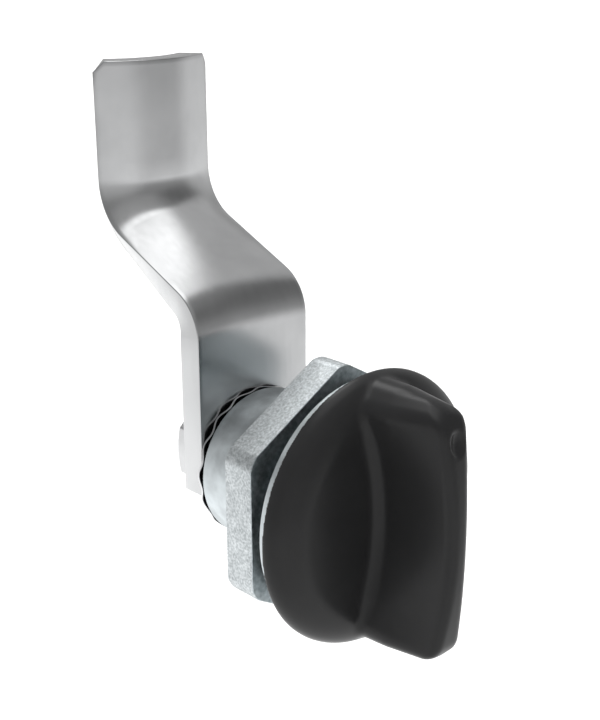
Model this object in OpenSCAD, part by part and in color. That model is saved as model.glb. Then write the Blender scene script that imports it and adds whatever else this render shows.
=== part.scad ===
// Quarter-turn cam latch with a wing knob, a round panel barrel and a cranked cam.
// Sizes are in millimetres. The spindle runs along Y, through the origin. The origin is on the
// seat, the flat back of the flange, where the front of the panel lies. -Y is the front, where
// the knob is, +Y is behind the panel, and the cam points up, along +Z, when the latch is shut.

/* [Knob] */
// Diameter of the round foot of the knob
knob_d = 31; // [28:0.5:36]
// Thickness of the foot, from the flange to its face
knob_foot_t = 2.85; // [2.4:0.05:4]
// Radial width of the rounding at the rim of the foot
knob_rim_w = 4; // [1.5:0.1:5]
// Depth of the rounding at the rim of the foot
knob_rim_depth = 2.6; // [1.2:0.1:2.7]
// Height of the wing above the face of the foot, at mid length
wing_h = 10.4; // [7:0.1:14]
// Length of the wing across the knob, at the foot
wing_l = 30.4; // [24:0.1:30.6]
// How much shorter the wing is at its tip
wing_draft = 1.6; // [0:0.1:3]
// Thickness of the wing at its waist
wing_waist = 2.8; // [2.4:0.1:4]
// Greatest thickness of the wing near its ends, at the foot
wing_end_root = 7.4; // [6:0.1:8]
// Greatest thickness of the wing near its ends, at the tip
wing_end_tip = 4.4; // [4:0.1:6]
// Drop of the tip edge from mid length to its ends
wing_crown = 1.7; // [0:0.05:2]
// Radius of the wing's corners, seen from the side
wing_side_r = 3; // [1:0.1:4]
// Radius of the fillet between foot and wing
wing_fillet = 1.1; // [0.5:0.1:1.4]
// Radius of the shoulders of the wing, seen from the front
wing_shoulder_r = 1.3; // [1.2:0.1:1.8]
// Radius of the nose at each end of the wing, seen from the front
wing_nose_r = 2.2; // [1.8:0.1:2.6]
// Slant of the faces between shoulder and nose, in degrees
wing_slant = 34; // [30:1:45]
// Radius that rounds the tip edge
wing_tip_r = 1.1; // [0.4:0.1:1.2]
// Diameter of the round position mark in the tip edge
mark_d = 3; // [2:0.1:3.6]
// Depth of the position mark
mark_depth = 0.6; // [0.3:0.05:0.9]
// Distance of the position mark from the end of the wing
mark_inset = 3.1; // [2.8:0.1:8]
// Wall of the knob in front of the spindle's socket
socket_floor = 1.2; // [1:0.1:2]

/* [Housing] */
// Diameter of the flange
flange_d = 29; // [26:0.5:34]
// Thickness of the flange
flange_t = 1.5; // [1.4:0.1:3]
// Outer diameter of the barrel
barrel_d = 17.83; // [17.6:0.01:19]
// Length of the barrel behind the seat
barrel_l = 15.97; // [15:0.01:24]
// Diameter of the bore that the boss of the knob turns in
front_bore_d = 13.2; // [12.6:0.1:14]
// Depth of that bore behind the seat
front_bore_l = 4.6; // [3.5:0.1:5]
// Diameter of the bearing bore of the spindle
bearing_d = 10.1; // [10:0.05:10.6]
// Depth of the stop chamber in the end of the barrel
chamber_l = 3.4; // [3:0.1:4]
// Diameter of the stop chamber beside the lug's pocket
chamber_d = 12; // [11.8:0.1:12.6]
// Wall left between the lug's pocket and the outside of the barrel
pocket_wall = 1.2; // [1:0.05:1.5]

/* [Stop and turn] */
// Turn of the knob between its two stops, in degrees
turn = 90; // [60:5:110]
// Angle that the stop lug fills, in degrees
lug_angle = 44; // [30:1:60]
// Free angle between lug and stop at each end, in degrees
lug_play = 1.5; // [1:0.5:4]
// Axial thickness of the stop lug
lug_t = 2; // [1.4:0.1:2.4]

/* [Seal and nut] */
// Distance from the rim of the flange to the seal ring in the seat
gasket_edge = 1.15; // [0.8:0.05:1.6]
// Radial width of the seal ring
gasket_w = 2.2; // [1.5:0.1:2.6]
// Thickness of the seal ring
gasket_t = 0.7; // [0.4:0.1:0.8]
// Gap for the panel, from the seat to the nut
panel_gap = 2.2; // [2.1:0.1:4]
// Width across the flats of the nut
nut_af = 27; // [24:0.5:30]
// Depth that each corner of the nut is cut back
nut_corner_cut = 0.41; // [0.2:0.01:1.2]
// Thickness of the nut
nut_t = 4.1; // [3:0.1:6]
// Countersink at both ends of the nut's bore
nut_countersink = 0.5; // [0.2:0.1:1]

/* [Spindle and seal] */
// Side of the square end inside the knob
drive_sq = 7; // [6:0.1:7.4]
// Side of the square end that the stop bush and the cam sit on
cam_sq = 7; // [6:0.1:7.2]
// Thickness of the spindle seal ring
seal_section = 1.4; // [1.2:0.1:1.6]
// Distance of the spindle seal's middle behind the seat
seal_y = 6.6; // [6.2:0.1:7]
// Major diameter of the cam screw
screw_d = 6; // [5:0.5:6]
// Depth of the cam screw in the spindle
screw_grip = 9.2; // [7:0.1:10.4]

/* [Cam] */
// Gap between the end of the barrel and the cam, filled by the wave washer
cam_gap = 0.8; // [0.6:0.05:1.2]
// Width of the cam
cam_w = 16.5; // [15:0.1:18]
// Thickness of the cam's sheet
cam_t = 3.2; // [2.5:0.1:4]
// Reach of the cam from the spindle axis to its top edge
cam_reach = 45.4; // [40:0.1:56]
// Set-back of the upper plate from the lower plate, at the edges
cam_offset = 17.65; // [14:0.05:20]
// Distance from the spindle axis to the start of the lower bend
cam_bend_z = 16.1; // [15:0.1:18]
// Slope of the cranked part, in degrees from the panel's normal
cam_slope = 24; // [18:1:32]
// Radius of the lower bend, on the front of the sheet
low_bend_r = 5.7; // [5:0.1:7]
// Radius of the upper bend, on the front of the sheet
high_bend_r = 6.6; // [5.6:0.1:8]
// Radius of the crown across the upper plate, on the front of the sheet
crown_r = 12.8; // [12:0.1:30]
// Chamfer of the two top corners
top_chamfer = 1.2; // [0.5:0.1:3]
// Distance from the spindle axis to the bottom edge of the cam
heel_z = 6.4; // [6.2:0.1:12]
// Distance from the spindle axis down to where the heel starts to taper
heel_start = 2.4; // [1:0.1:6]
// Width of the bottom edge of the cam
heel_w = 3.4; // [2:0.1:9]

/* [Wave washer, lock washer and screw] */
// Number of waves round the wave washer
waves = 16; // [3:1:20]
// Thickness of the wave washer's strip
wave_t = 0.25; // [0.15:0.05:0.3]
// Radial width of the wave washer's strip
wave_w = 1.1; // [0.8:0.05:1.6]
// Thickness of the split lock washer
lock_t = 1.6; // [1:0.1:2]
// Outer diameter of the lock washer
lock_d = 11.4; // [10:0.1:12.5]
// Width of the slit that splits the lock washer
lock_slit = 0.8; // [0.4:0.1:1.2]
// Width across the flats of the screw head
head_af = 10; // [9:0.5:11]
// Height of the screw head
head_h = 4; // [3:0.1:5]
// Distance from the flats of the screw head to the turned flat of its end face
head_land = 0.4; // [0.2:0.1:0.8]

/* [Fits] */
// Radial clearance of a turning fit
turn_fit = 0.05; // [0.02:0.01:0.08]
// Clearance per side of a push-on fit
push_fit = 0.03; // [0.02:0.01:0.08]
// Axial gap between faces that turn past each other
face_gap = 0.1; // [0.05:0.01:0.2]
// Free space round the stop bush, from the housing
bush_gap = 0.3; // [0.25:0.05:0.5]
// Gap between the spindle's front end and the floor of its socket
socket_gap = 0.2; // [0.1:0.05:0.5]
// Depth that the square end of the spindle stays below the back of the cam
square_gap = 0.4; // [0.2:0.1:0.8]
// Free depth of the spindle's hole past the end of the screw
hole_gap = 0.6; // [0.3:0.1:1]
// Radial clearance of the lock washer round the screw
screw_fit = 0.15; // [0.1:0.05:0.3]

/* [Hidden] */
$fn = 96;
eps = 0.01;
// How far a cutting shape runs past what it cuts
cut = 1;

// Places along the spindle, front to back
foot_back_y = -flange_t - face_gap;
foot_face_y = foot_back_y - knob_foot_t;
tip_y = foot_face_y - wing_h;
boss_end_y = front_bore_l - face_gap;
chamber_y = barrel_l - chamber_l;
bush_y = chamber_y + bush_gap;
cam_front_y = barrel_l + cam_gap;
cam_back_y = cam_front_y + cam_t;
square_end_y = cam_back_y - square_gap;
head_y = cam_back_y + lock_t;
socket_y = foot_face_y + socket_floor;
screw_end_y = cam_back_y - screw_grip;

// Radii
boss_r = front_bore_d / 2 - turn_fit;
journal_r = bearing_d / 2 - turn_fit;
bush_r = chamber_d / 2 - bush_gap;
pocket_r = barrel_d / 2 - pocket_wall;
lug_r = pocket_r - bush_gap;
gasket_out_r = flange_d / 2 - gasket_edge;
gasket_in_r = gasket_out_r - gasket_w;
groove_r = journal_r - seal_section + turn_fit;
rim_edge = 0.3;

// Stop: at rest the lug points up, half its angle on each side, and it turns towards +X
lug_from = -lug_angle / 2;
lug_to = lug_angle / 2;
pocket_from = lug_from - lug_play;
pocket_to = lug_to + turn + lug_play;

// A revolve or extrusion set on the spindle axis, its height running back from y
module on_axis(y = 0) {
    translate([0, y, 0]) rotate([-90, 0, 0]) children();
}

// A plain ring on the axis
module ring(y, length, outer_r, inner_r) {
    on_axis(y) difference() {
        cylinder(r = outer_r, h = length);
        translate([0, 0, -cut]) cylinder(r = inner_r, h = length + 2 * cut);
    }
}

// A square bar on the axis
module square_bar(y, length, side) {
    on_axis(y) translate([-side / 2, -side / 2, 0]) cube([side, side, length]);
}

// A wedge of the plane seen from the front, from one angle to another, clockwise from the top
module wedge(from, to, r) {
    steps = 8;
    rim = [for (i = [0:steps]) from + (to - from) * i / steps];
    polygon(concat([[0, 0]], [for (a = rim) 1.5 * r * [sin(a), -cos(a)]]));
}

// A ring's part between two angles, on the axis
module ring_part(y, length, outer_r, inner_r, from, to) {
    on_axis(y) linear_extrude(length) intersection() {
        difference() {
            circle(r = outer_r);
            if (inner_r > 0) circle(r = inner_r);
        }
        wedge(from, to, outer_r);
    }
}

// Skin of triangles over rings of equal length, closed by strips across the first and last ring
module loft(rings) {
    n = len(rings[0]);
    m = len(rings);
    half = n / 2;
    points = [for (ring = rings) for (p = ring) p];
    sides = [
        for (k = [0:m - 2]) for (i = [0:n - 1]) let (
            a = k * n + i, b = k * n + (i + 1) % n, c = a + n, d = b + n
        ) each [[a, c, b], [b, c, d]]
    ];
    strip = [
        for (i = [0:half - 2]) let (a = i, b = i + 1, c = n - 2 - i, d = n - 1 - i)
            each [[a, b, c], [a, c, d]]
    ];
    last = (m - 1) * n;
    cap = [for (t = strip) [t[2] + last, t[1] + last, t[0] + last]];
    polyhedron(points = points, faces = concat(sides, strip, cap), convexity = 6);
}

// Depth of the foot's surface at a distance r from the axis: flat, then rounded to the rim
rim_start = knob_d / 2 - knob_rim_w;
rim_depth = min(knob_rim_depth, 0.92 * knob_foot_t);
function foot_y(r) =
    let (into_rim = min(max(0, r - rim_start), knob_rim_w) / knob_rim_w)
    foot_face_y + rim_depth * (1 - sqrt(1 - into_rim * into_rim));

// One side of the wing's outline seen from the front, from its lower nose to its upper nose: a
// hollow flank, an arc round each shoulder, a slanted face and an arc round each nose.
// share says how far the section is from the foot to the tip, and grow moves it outwards.
waist_r = wing_waist / 2;
tip_half_l = (wing_l - wing_draft) / 2;
tip_round = min(wing_tip_r, 0.9 * waist_r);
mark_z = tip_half_l - mark_inset;
function wing_half(share, grow) =
    let (
        side_steps = 12,
        shoulder_steps = 5,
        nose_steps = 3,
        end_x = (wing_end_root + (wing_end_tip - wing_end_root) * share) / 2,
        nose_z = wing_l / 2 + (tip_half_l - wing_l / 2) * share - wing_nose_r,
        cx = end_x - wing_shoulder_r,
        cz = nose_z + (wing_nose_r - wing_shoulder_r - cx * sin(wing_slant)) / cos(wing_slant),
        flank_r = (pow(cx - waist_r, 2) + cz * cz - pow(wing_shoulder_r, 2)) / 2 / (end_x - waist_r),
        lean = asin(cz / (flank_r + wing_shoulder_r)),
        shoulder_turn = 90 - wing_slant + lean,
        side = [
            for (i = [0:side_steps - 1]) let (a = lean * (2 * i / side_steps - 1))
                [waist_r + flank_r - (flank_r - grow) * cos(a), (flank_r - grow) * sin(a)]
        ],
        shoulder = [
            for (i = [0:shoulder_steps]) let (a = -lean + shoulder_turn * i / shoulder_steps)
                [cx, cz] + (wing_shoulder_r + grow) * [cos(a), sin(a)]
        ],
        nose = [
            for (i = [0:nose_steps]) let (a = wing_slant * (1 - i / (nose_steps + 0.5)))
                [0, nose_z] + (wing_nose_r + grow) * [sin(a), cos(a)]
        ],
        end = concat(shoulder, nose),
        below = [for (i = [len(end) - 1:-1:1]) [end[i][0], -end[i][1]]]
    )
    concat(below, side, end);
function wing_outline(share, grow) =
    let (half = wing_half(share, grow), n = len(half))
    concat(half, [for (i = [n - 1:-1:0]) [-half[i][0], half[i][1]]]);
function crown_at(z) =
    let (into_corner = min(max(0, abs(z) - (tip_half_l - wing_side_r)), wing_side_r))
    wing_crown * pow(z / tip_half_l, 2)
        + wing_side_r - sqrt(pow(wing_side_r, 2) - pow(into_corner, 2));

// A point of the outline, held inside the rim of the foot
function within_foot(p) = p * min(1, (knob_d / 2 - rim_edge / 4) / norm(p));

// Rings of the wing from inside the foot, over the fillet and the flanks, to the rounded tip
function wing_rings() =
    let (
        fillet_steps = 5,
        tip_steps = 5,
        tip_turn = 85,
        buried_y = foot_back_y - knob_foot_t / 8,
        buried = [for (p = wing_outline(0, 0)) [p[0], buried_y, p[1]]],
        fillet = [
            for (s = [0:fillet_steps]) let (a = 90 * s / fillet_steps, grow = wing_fillet * (1 - sin(a)))
                [for (q = wing_outline(0, grow)) let (p = within_foot(q))
                    [p[0], foot_y(norm(p)) - 2 * eps - wing_fillet * (1 - cos(a)), p[1]]]
        ],
        flank = [
            for (share = [0.25, 0.5, 0.75]) let (
                y = foot_face_y - wing_fillet
                    - (wing_h - wing_fillet - tip_round) * share
            )
                [for (p = wing_outline(share, 0)) [p[0], y + share * crown_at(p[1]), p[1]]]
        ],
        tip = [
            for (s = [0:tip_steps]) let (a = tip_turn * s / tip_steps, grow = -tip_round * (1 - cos(a)))
                [for (p = wing_outline(1, grow))
                    [p[0], tip_y + tip_round * (1 - sin(a)) + crown_at(p[1]), p[1]]]
        ]
    )
    concat([buried], fillet, flank, tip);

module wing_knob() {
    rim_steps = 8;
    mark_ball_r = (pow(mark_d / 2, 2) + pow(mark_depth, 2)) / 2 / mark_depth;
    color("#303234") difference() {
        union() {
            on_axis() rotate_extrude() polygon(concat(
                [[0, foot_face_y]],
                [for (i = [0:rim_steps]) let (a = 90 * i / rim_steps)
                    [rim_start + knob_rim_w * sin(a), foot_face_y + rim_depth * (1 - cos(a))]],
                [[knob_d / 2, foot_back_y], [boss_r, foot_back_y], [boss_r, boss_end_y],
                    [0, boss_end_y]]
            ));
            loft(wing_rings());
        }
        // Socket for the spindle's front square
        square_bar(socket_y, boss_end_y - socket_y + cut, drive_sq + 2 * push_fit);
        // Round position mark, a shallow hollow
        translate([0, tip_y + crown_at(mark_z) + mark_depth - mark_ball_r, mark_z])
            sphere(r = mark_ball_r, $fn = 64);
    }
}

module spindle() {
    journal_y = boss_end_y + push_fit;
    drive_end_y = socket_y + socket_gap;
    color("#b4b6b8") difference() {
        union() {
            square_bar(drive_end_y, journal_y - drive_end_y + eps, drive_sq);
            on_axis(journal_y) cylinder(r = journal_r, h = bush_y - journal_y);
            // Square for the bush and the cam, its corners turned to the journal
            intersection() {
                square_bar(bush_y - eps, square_end_y - bush_y + eps, cam_sq);
                on_axis(bush_y - cut) cylinder(r = journal_r, h = square_end_y - bush_y + 2 * cut);
            }
        }
        // Groove of the seal ring
        ring(seal_y - seal_section / 2 - turn_fit, seal_section + 2 * turn_fit, journal_r + cut, groove_r);
        // Threaded hole of the cam screw
        on_axis(screw_end_y - hole_gap)
            cylinder(d = screw_d + 2 * push_fit, h = square_end_y - screw_end_y + hole_gap + cut);
    }
}

module spindle_seal() {
    middle_r = journal_r + turn_fit - seal_section / 2 - push_fit / 2;
    color("#1c1d1e") on_axis(seal_y) rotate_extrude()
        translate([middle_r, 0]) circle(d = seal_section - push_fit, $fn = 32);
}

module housing() {
    color("#c3c5c7") difference() {
        on_axis() rotate_extrude() polygon([
            [0, -flange_t], [flange_d / 2 - rim_edge, -flange_t], [flange_d / 2, rim_edge - flange_t],
            [flange_d / 2, -rim_edge / 2], [flange_d / 2 - rim_edge / 2, 0], [barrel_d / 2, 0],
            [barrel_d / 2, barrel_l - rim_edge], [barrel_d / 2 - rim_edge, barrel_l], [0, barrel_l]
        ]);
        // Bore of the knob's boss, bearing bore of the spindle
        on_axis(-flange_t - cut) cylinder(d = front_bore_d, h = flange_t + cut + front_bore_l);
        on_axis(0) cylinder(d = bearing_d, h = barrel_l);
        // Stop chamber, with the pocket that the lug swings in
        on_axis(chamber_y) cylinder(d = chamber_d, h = chamber_l + cut);
        ring_part(chamber_y, chamber_l + cut, pocket_r, 0, pocket_from, pocket_to);
        // Groove of the seal ring in the seat
        ring(-gasket_t - push_fit, gasket_t + push_fit + cut, gasket_out_r + push_fit,
            gasket_in_r - push_fit);
    }
}

module seat_gasket() {
    color("#242526") ring(-gasket_t, gasket_t - push_fit, gasket_out_r, gasket_in_r);
}

module hex_nut() {
    bore_r = barrel_d / 2 + push_fit;
    sink_r = bore_r + nut_countersink;
    corner_r = nut_af / 2 / cos(30) - nut_corner_cut;
    color("#bfc1c2") difference() {
        on_axis(panel_gap) linear_extrude(nut_t) intersection() {
            rotate(30) circle(r = nut_af / 2 / cos(30), $fn = 6);
            circle(r = corner_r / cos(30), $fn = 6);
        }
        on_axis(panel_gap - cut) cylinder(r = bore_r, h = nut_t + 2 * cut);
        on_axis(panel_gap) translate([0, 0, -eps])
            cylinder(r1 = sink_r, r2 = bore_r, h = nut_countersink + eps);
        on_axis(panel_gap + nut_t) translate([0, 0, -nut_countersink])
            cylinder(r1 = bore_r, r2 = sink_r, h = nut_countersink + eps);
    }
}

module stop_bush() {
    color("#a9abad") difference() {
        union() {
            on_axis(bush_y) cylinder(r = bush_r, h = cam_front_y - bush_y);
            ring_part(bush_y, lug_t, lug_r, 0, lug_from, lug_to);
        }
        square_bar(bush_y - cut, cam_front_y - bush_y + 2 * cut, cam_sq + 2 * push_fit);
    }
}

// Height of the strip's middle over the barrel's end, round the wave washer
wave_swing = (cam_gap - wave_t) / 2 - push_fit;
wave_phase = -7.7;
function wave_y(a) = barrel_l + cam_gap / 2 - wave_swing * cos(waves * (a - wave_phase));

module wave_washer() {
    steps = 8 * waves;
    r_out = barrel_d / 2;
    r_in = r_out - wave_w;
    points = [
        for (i = [0:steps - 1]) let (a = 360 * i / steps, y = wave_y(a), dir = [-cos(a), sin(a)])
            each [for (c = [[r_in, -1], [r_out, -1], [r_out, 1], [r_in, 1]])
                [c[0] * dir[0], y + c[1] * wave_t / 2, c[0] * dir[1]]]
    ];
    faces = [
        for (i = [0:steps - 1]) for (c = [0:3]) let (
            a = 4 * i + c, b = 4 * i + (c + 1) % 4,
            d = 4 * ((i + 1) % steps) + c, e = 4 * ((i + 1) % steps) + (c + 1) % 4
        ) each [[a, d, b], [b, d, e]]
    ];
    color("#d8dadb") polyhedron(points = points, faces = faces, convexity = 6);
}

// The cam's sheet is swept along its front edge line, seen from the side: up the lower plate,
// round the lower bend, back along the slope, round the upper bend and up the upper plate.
crank = 90 - cam_slope;
high_y = cam_front_y + cam_offset;
low_tangent = low_bend_r * tan(crank / 2);
high_tangent = high_bend_r * tan(crank / 2);
slope_len = cam_offset / sin(crank) - low_tangent - high_tangent;
high_corner_z = cam_bend_z + low_tangent + cam_offset / tan(crank);
crown_angle = asin(min(1, cam_w / 2 / crown_r));

// A station is [y, z, lean of the path from +Z towards +Y, share of the crown]
function cam_path() =
    let (
        bend_steps = 7,
        slope_steps = 6,
        low_crown = 0.2,
        high_crown = 0.8,
        low_cy = cam_front_y + low_bend_r,
        high_cy = high_y - high_bend_r,
        high_cz = high_corner_z + high_tangent,
        low_end = [low_cy - low_bend_r * cos(crank), cam_bend_z + low_bend_r * sin(crank)]
    )
    concat(
        [[cam_front_y, -heel_z - cut, 0, 0]],
        [for (i = [0:bend_steps]) let (a = crank * i / bend_steps)
            [low_cy - low_bend_r * cos(a), cam_bend_z + low_bend_r * sin(a), a,
                low_crown * i / bend_steps]],
        [for (i = [1:slope_steps - 1]) let (s = i / slope_steps)
            [low_end[0] + slope_len * s * sin(crank), low_end[1] + slope_len * s * cos(crank), crank,
                low_crown + (high_crown - low_crown) * s]],
        [for (i = [0:bend_steps]) let (a = crank * (1 - i / bend_steps))
            [high_cy + high_bend_r * cos(a), high_cz - high_bend_r * sin(a), a,
                high_crown + (1 - high_crown) * i / bend_steps]],
        [[high_y, cam_reach + cut, 0, 1]]
    );

// Section of the sheet at a station: flat, or crowned towards the front and cut square at its edges
function cam_section(station) =
    let (
        steps = 12,
        fi = crown_angle * station[3],
        flat = fi < 0.01,
        r = flat ? 0 : cam_w / 2 / sin(fi),
        back = [cos(station[2]), -sin(station[2])],
        row = function (depth) [
            for (i = [0:steps]) let (
                u = 2 * i / steps - 1,
                x = flat ? u * cam_w / 2 : (r - depth) * sin(u * fi),
                d = flat ? depth : r * cos(fi) - (r - depth) * cos(u * fi)
            ) [x, station[0] + d * back[0], station[1] + d * back[1]]
        ],
        front = row(0),
        rear = row(cam_t)
    )
    concat(front, [for (i = [steps:-1:0]) rear[i]]);

module cam() {
    half_w = cam_w / 2;
    half_top = half_w - top_chamfer;
    shoulder = cam_reach - top_chamfer;
    color("#c9cbcc") difference() {
        intersection() {
            loft([for (station = cam_path()) cam_section(station)]);
            // Outline seen from the front: tapered heel, chamfered top corners
            on_axis(cam_front_y - cut) linear_extrude(cam_offset + cam_t + 2 * cut) polygon([
                [-heel_w / 2, heel_z], [heel_w / 2, heel_z], [half_w, heel_start],
                [half_w + cut, heel_start - cut], [half_w + cut, cut - shoulder],
                [half_top, -cam_reach], [-half_top, -cam_reach],
                [-half_w - cut, cut - shoulder], [-half_w - cut, heel_start - cut],
                [-half_w, heel_start]
            ]);
        }
        square_bar(cam_front_y - cut, cam_t + 2 * cut, cam_sq + 2 * push_fit);
    }
}

module lock_washer() {
    slit_lean = 25;
    color("#a7a9ab") difference() {
        ring(cam_back_y, lock_t, lock_d / 2, screw_d / 2 + screw_fit);
        // Slanted slit of the split washer
        translate([0, cam_back_y + lock_t / 2, 0]) rotate([0, 0, slit_lean])
            translate([-lock_slit / 2, -lock_t, 0]) cube([lock_slit, 2 * lock_t, lock_d]);
    }
}

module cam_screw() {
    corner_r = head_af / 2 / cos(30);
    land_r = head_af / 2 - head_land;
    turned_r = corner_r + cut;
    color("#c6c8c9") union() {
        // Hexagonal head with its corners turned off
        intersection() {
            on_axis(head_y) rotate(30) cylinder(r = corner_r, h = head_h, $fn = 6);
            on_axis(head_y) rotate_extrude() polygon([
                [0, 0], [turned_r, 0], [turned_r, head_h - (turned_r - land_r) * tan(30)],
                [land_r, head_h], [0, head_h]
            ]);
        }
        on_axis(screw_end_y) cylinder(d = screw_d, h = head_y - screw_end_y + eps);
    }
}

wing_knob();
spindle();
spindle_seal();
housing();
seat_gasket();
hex_nut();
stop_bush();
wave_washer();
cam();
lock_washer();
cam_screw();
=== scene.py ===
import math

import bmesh
import bpy
from mathutils import Euler, Matrix, Vector
from mathutils.bvhtree import BVHTree


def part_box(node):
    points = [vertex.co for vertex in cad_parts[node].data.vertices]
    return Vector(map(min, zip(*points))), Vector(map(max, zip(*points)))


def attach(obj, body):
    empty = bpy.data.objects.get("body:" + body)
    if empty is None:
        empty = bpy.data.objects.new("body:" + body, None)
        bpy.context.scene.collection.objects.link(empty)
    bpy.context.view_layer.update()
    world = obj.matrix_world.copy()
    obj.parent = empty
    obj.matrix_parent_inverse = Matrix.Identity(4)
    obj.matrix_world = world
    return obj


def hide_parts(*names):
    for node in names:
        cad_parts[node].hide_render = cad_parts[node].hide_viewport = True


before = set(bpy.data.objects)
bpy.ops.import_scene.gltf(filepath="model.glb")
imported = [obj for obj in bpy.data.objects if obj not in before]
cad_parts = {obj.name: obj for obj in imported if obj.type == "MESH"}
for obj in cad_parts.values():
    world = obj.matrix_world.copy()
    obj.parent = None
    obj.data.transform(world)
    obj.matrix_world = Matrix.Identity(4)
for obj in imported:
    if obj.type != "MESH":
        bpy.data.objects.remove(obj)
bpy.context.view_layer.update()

# Quarter-turn cam latch: the finished look of every piece. All lengths are in metres. The spindle
# lies along Y, the knob is at the front (-Y), and the cam points up (+Z).

MM = 0.001

# Points closer than these are merged, on the wing and elsewhere
WING_MERGE_DIST = 1e-3 * MM
MERGE_DIST = 1e-4 * MM

# The sizes that model.glb gives
knob_low, knob_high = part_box("wing_knob")
housing_low, housing_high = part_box("housing")
nut_low, nut_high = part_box("hex_nut")
wave_low, wave_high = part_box("wave_washer")
cam_low, cam_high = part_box("cam")
lock_low, lock_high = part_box("lock_washer")
screw_low, screw_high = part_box("cam_screw")
gasket_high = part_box("seat_gasket")[1]

# Knob: its foot is a disc with a rounded rim, with a boss behind it and a square socket in the boss
FOOT_FRONT_Y = -4.45 * MM
FOOT_BACK_Y = -1.6 * MM
RIM_W = 4.0 * MM
RIM_DEPTH = 2.6 * MM
BOSS_R = 6.55 * MM
BOSS_EDGE_R = 0.2 * MM
SOCKET_SIDE = 7.06 * MM
SOCKET_FLOOR = 1.2 * MM

# Wing: thin at the waist and wide at the ends, each with two shoulders and a nose between them. It
# narrows from its root at the foot to its tip.
WING_ROOT_Y = FOOT_BACK_Y - 0.3 * MM
WING_HALF_L = 15.2 * MM
TIP_HALF_L = 14.8 * MM
WING_WAIST = 2.8 * MM
WING_END_ROOT = 7.4 * MM
WING_END_TIP = 4.4 * MM
SHOULDER_ROOT_R = 2.0 * MM
SHOULDER_TIP_R = 1.3 * MM
NOSE_ROOT_R = 3.4 * MM
NOSE_TIP_R = 1.6 * MM
WING_SLANT = math.radians(34)
WING_TIP_R = 1.1 * MM
WING_TIP_ARC = math.radians(85)

# The wing's tip edge drops by the crown towards its ends, and the ends are rounded seen from the side
WING_CROWN = 1.8 * MM
WING_SIDE_R = 3.0 * MM

# Fillet at the wing's root: full up to a height, and a share of its size at the noses. It stands a
# little proud of the foot, and keeps a margin from the foot's rim.
WING_FILLET = 1.5 * MM
FILLET_FULL_Z = 9 * MM
NOSE_FILLET_SHARE = 0.2
FILLET_PROUD = 0.02 * MM
RIM_MARGIN = 0.07 * MM

# Position mark: a shallow hollow in the tip edge, narrower across the edge than along it
MARK_D = 3.0 * MM
MARK_DEPTH = 0.45 * MM
MARK_NARROWING = 0.72
MARK_Z = 11.3 * MM

# Moulded skin: the size of its mesh, how often it is softened, and the place behind which it is laid
# on the sharp form again
SKIN_VOXEL = 0.2 * MM
SKIN_PASSES = 3
CRISP_FROM_Y = FOOT_BACK_Y - RIM_DEPTH / 4

# Housing: a bore for the knob's boss, one for the spindle, a chamber with the pocket in which the
# lug of the stop bush swings, and a groove for the gasket
FRONT_BORE_R = 6.6 * MM
FRONT_BORE_END = 4.6 * MM
BEARING_R = 5.05 * MM
CHAMBER_R = 6.0 * MM
CHAMBER_START = 12.57 * MM
POCKET_R = 7.715 * MM
POCKET_START = math.radians(-23.5)
POCKET_SPAN = math.radians(137)
GASKET_IN_R = 11.15 * MM
GROOVE_FLOOR = -0.73 * MM
FLANGE_EDGE_R = 0.3 * MM
BORE_EDGE_R = 0.15 * MM

# Nut: its corners are cut back and eased, and its bore is sunk at both ends. The last pair says how
# near to its ends the faced finish, darkened by painted shade, starts to show, and is full.
NUT_CUT = 0.41 * MM
NUT_EASE = 0.4 * MM
NUT_EDGE_R = 0.12 * MM
NUT_BORE_R = 8.945 * MM
NUT_BORE_EDGE_R = 0.2 * MM
NUT_SINK = 0.5 * MM
FACED_FADE = (0.1 * MM, 0.03 * MM)

# Waved washer. The last pair says how near to its outer edge the plain steel, free of the painted
# shade, starts to show, and is full.
WAVES = 16
WAVE_PHASE = math.radians(-7.7)
WAVE_T = 0.25 * MM
WAVE_W = 1.1 * MM
WAVE_EDGE_R = 0.04 * MM
STEPS_PER_WAVE = 24
UNSHADED_EDGE_FADE = (0.07 * MM, 0.03 * MM)

# Screw: its head is chamfered behind, down to a round land whose edge lies inside the flats. The
# split washer under the head clears the shank.
SCREW_R = 3.0 * MM
SHANK_CHAMFER = 0.6 * MM
HEX_HALF = math.radians(30)
HEAD_EDGE_R = 0.12 * MM
HEAD_SLOPE = math.radians(30)
HEAD_LAND = 0.4 * MM
HEAD_LAND_R = 0.3 * MM
LOCK_CLEARANCE = 0.15 * MM
LOCK_SLIT = 0.8 * MM
LOCK_EDGE_R = 0.15 * MM

# Cam: a sheet with a square hole and a tapered heel, bent back by the crank angle and forward again.
# Its upper plate is crowned, and the slope between the bends from one share of that to another. An
# arc across the sheet that spans less than the last value, in radians, counts as flat.
SHEET_T = 3.2 * MM
OFFSET = 17.65 * MM
LOW_BEND_Z = 16.1 * MM
CRANK = math.radians(66)
LOW_BEND_R = 5.7 * MM
HIGH_BEND_R = 6.6 * MM
TOP_CHAMFER = 1.2 * MM
HEEL_START = -2.4 * MM
HEEL_HALF = 1.7 * MM
HOLE_HALF = 3.53 * MM
CAM_EDGE_R = 0.22 * MM
CROWN_R = 12.8 * MM
LOW_CROWN = 0.2
HIGH_CROWN = 0.8
FLATTEST_ARC = 0.001

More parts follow.
